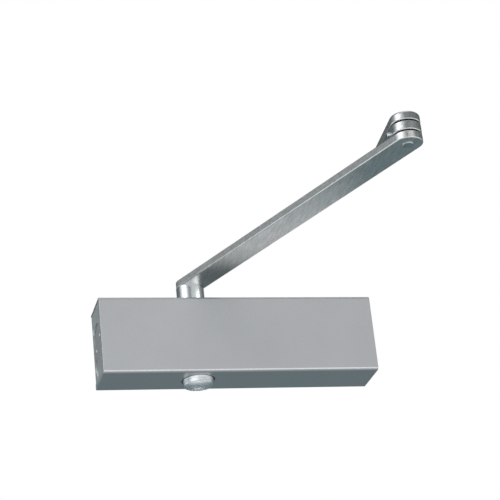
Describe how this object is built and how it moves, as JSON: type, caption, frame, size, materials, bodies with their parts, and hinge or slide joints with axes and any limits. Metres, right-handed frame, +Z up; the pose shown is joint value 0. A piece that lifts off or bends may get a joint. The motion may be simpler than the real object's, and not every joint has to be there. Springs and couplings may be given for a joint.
{
  "type": "door closer",
  "caption": "Surface-mounted rack-and-pinion door closer: channel cover on a hydraulic casting, with a flat main arm, stacked elbow and short forearm link.",
  "frame": {"origin": "in the plane of the door face, at the centre of the four mounting holes", "axes": "+Z up, +X to the right along the door, -Y out into the room, +Y into the door"},
  "size_m": [0.21, 0.2691, 0.1014],
  "materials": {
    "cover_paint": "silver, satin",
    "cast_aluminium": "machined casting",
    "zinc_steel": "zinc plated",
    "seal_rubber": "matt",
    "bearing_bronze": "turned",
    "spring_steel": "oiled wire",
    "hardened_steel": "ground",
    "bright_chrome": "polished",
    "arm_nickel": "satin nickel",
    "washer_nylon": "matt"
  },
  "bodies": {
    "housing": {"body_casting": "cast_aluminium", "cover": "cover_paint", "cover_screws": "zinc_steel", "left_end_plug": "zinc_steel", "right_end_plug": "zinc_steel", "left_plug_seal": "seal_rubber", "right_plug_seal": "seal_rubber", "upper_bearing": "bearing_bronze", "lower_bearing": "bearing_bronze", "upper_shaft_seal": "seal_rubber", "lower_shaft_seal": "seal_rubber", "upper_bearing_nut": "zinc_steel", "lower_bearing_nut": "zinc_steel", "valve_seals": "seal_rubber", "return_spring": "spring_steel"},
    "spindle_arm": {"pinion_shaft": "hardened_steel", "arm_hub": "bright_chrome", "main_arm": "arm_nickel", "arm_screw": "zinc_steel", "spindle_cap": "bright_chrome", "elbow_pin": "zinc_steel", "lower_elbow_washer": "washer_nylon", "elbow_knuckle": "arm_nickel", "upper_elbow_washer": "washer_nylon", "elbow_set_screw": "bright_chrome"},
    "forearm": {"forearm_link": "arm_nickel", "elbow_bush": "bearing_bronze"},
    "piston": {"piston": "hardened_steel", "piston_seal": "seal_rubber", "check_ball": "hardened_steel", "check_ball_retainer": "zinc_steel", "spring_follower": "hardened_steel"},
    "closing_valve": {"closing_valve": "zinc_steel"},
    "latching_valve": {"latching_valve": "zinc_steel"},
    "backcheck_valve": {"backcheck_valve": "zinc_steel"}
  },
  "joints": [
    {"name": "arm_swing", "type": "hinge", "parent": "housing", "child": "spindle_arm", "pos_m": [-0.0308, -0.0185, 0], "axis": [0, 0, 1], "range_deg": [0, 170], "stiffness_Nm_per_rad": 4, "springref_deg": -85.94},
    {"name": "piston_slide", "type": "slide", "parent": "housing", "child": "piston", "axis": [1, 0, 0], "range_m": [0, 0.0223], "deforming": ["return_spring"]},
    {"name": "elbow", "type": "hinge", "parent": "spindle_arm", "child": "forearm", "pos_m": [0.06828, -0.25888, 0.06155], "axis": [0, 0, 1], "range_deg": [-154, 60]},
    {"name": "closing_valve_turn", "type": "hinge", "parent": "housing", "child": "closing_valve", "pos_m": [-0.1, -0.005, 0.014], "axis": [-1, 0, 0], "range_deg": [-360, 360]},
    {"name": "latching_valve_turn", "type": "hinge", "parent": "housing", "child": "latching_valve", "pos_m": [-0.1, -0.005, -0.0165], "axis": [-1, 0, 0], "range_deg": [-360, 360]},
    {"name": "backcheck_valve_turn", "type": "hinge", "parent": "housing", "child": "backcheck_valve", "pos_m": [-0.1, -0.0103, -0.0207], "axis": [-1, 0, 0], "range_deg": [-360, 360]}
  ],
  "couplings": [
    {"joint": "piston_slide", "follows": "arm_swing", "m_per_rad": 0.0075}
  ]
}
